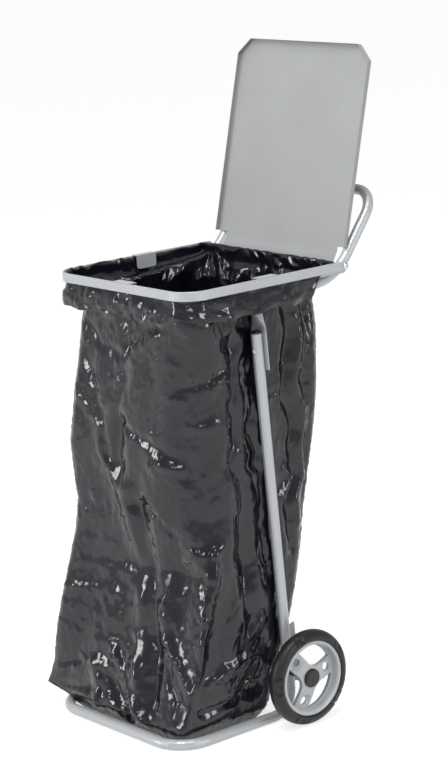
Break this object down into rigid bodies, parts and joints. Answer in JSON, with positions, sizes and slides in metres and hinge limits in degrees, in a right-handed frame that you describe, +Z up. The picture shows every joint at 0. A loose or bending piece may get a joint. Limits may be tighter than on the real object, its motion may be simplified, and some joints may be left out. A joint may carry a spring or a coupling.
{
  "type": "bin bag holder",
  "caption": "Wheeled refuse sack stand: bent steel tube frame and push handle, hinged clamp ring, folded sheet lid, two wheels and an open film sack.",
  "frame": {"origin": "on the floor under the middle of the bounding box", "axes": "+Z up, +X to the right of the person who pushes the stand, +Y from the open front towards the handle"},
  "size_m": [0.5672, 0.6322, 1.3622],
  "materials": {
    "frame_steel": "bright zinc coat, satin",
    "zinc_steel": "zinc plated",
    "lid_sheet": "aluminium sheet, matt grey",
    "tyre_rubber": "matt",
    "rim_plastic": "moulded, grey",
    "black_plastic": "moulded, black",
    "sack_film": "thin film, creased"
  },
  "bodies": {
    "stand": {"base_frame": "frame_steel", "leg_gusset_left": "frame_steel", "leg_gusset_right": "frame_steel", "leg_plug_left": "black_plastic", "leg_plug_right": "black_plastic", "handle_frame": "frame_steel", "inner_ring": "frame_steel", "rear_bar": "frame_steel", "hinge_rod": "zinc_steel", "pivot_screw_left": "zinc_steel", "pivot_screw_right": "zinc_steel", "pivot_washer_left": "zinc_steel", "pivot_washer_right": "zinc_steel", "end_screw_left": "zinc_steel", "end_screw_right": "zinc_steel", "dome_nut_left": "zinc_steel", "dome_nut_right": "zinc_steel", "axle": "zinc_steel", "axle_spacer_left": "black_plastic", "axle_spacer_right": "black_plastic", "retaining_ring_left": "zinc_steel", "retaining_ring_right": "zinc_steel", "sack": "sack_film"},
    "clamp": {"clamp_ring": "frame_steel", "front_clip": "frame_steel", "right_clip": "frame_steel", "left_clip": "frame_steel"},
    "lid_panel": {"lid": "lid_sheet"},
    "wheel_left": {"wheel_rim_left": "rim_plastic", "tyre_left": "tyre_rubber", "hub_cap_left": "black_plastic"},
    "wheel_right": {"wheel_rim_right": "rim_plastic", "tyre_right": "tyre_rubber", "hub_cap_right": "black_plastic"}
  },
  "joints": [
    {"name": "lid_hinge", "type": "hinge", "parent": "stand", "child": "lid_panel", "pos_m": [0, 0.18874, 0.9225], "axis": [-1, 0, 0], "range_deg": [-100, 0]},
    {"name": "ring_hinge", "type": "hinge", "parent": "stand", "child": "clamp", "pos_m": [0, 0.18874, 0.9225], "axis": [-1, 0, 0], "range_deg": [0, 100]},
    {"name": "wheel_left_turn", "type": "hinge", "parent": "stand", "child": "wheel_left", "pos_m": [-0.2655, -0.00675, 0.1], "axis": [1, 0, 0], "continuous": true},
    {"name": "wheel_right_turn", "type": "hinge", "parent": "stand", "child": "wheel_right", "pos_m": [0.2655, -0.00675, 0.1], "axis": [1, 0, 0], "continuous": true}
  ]
}
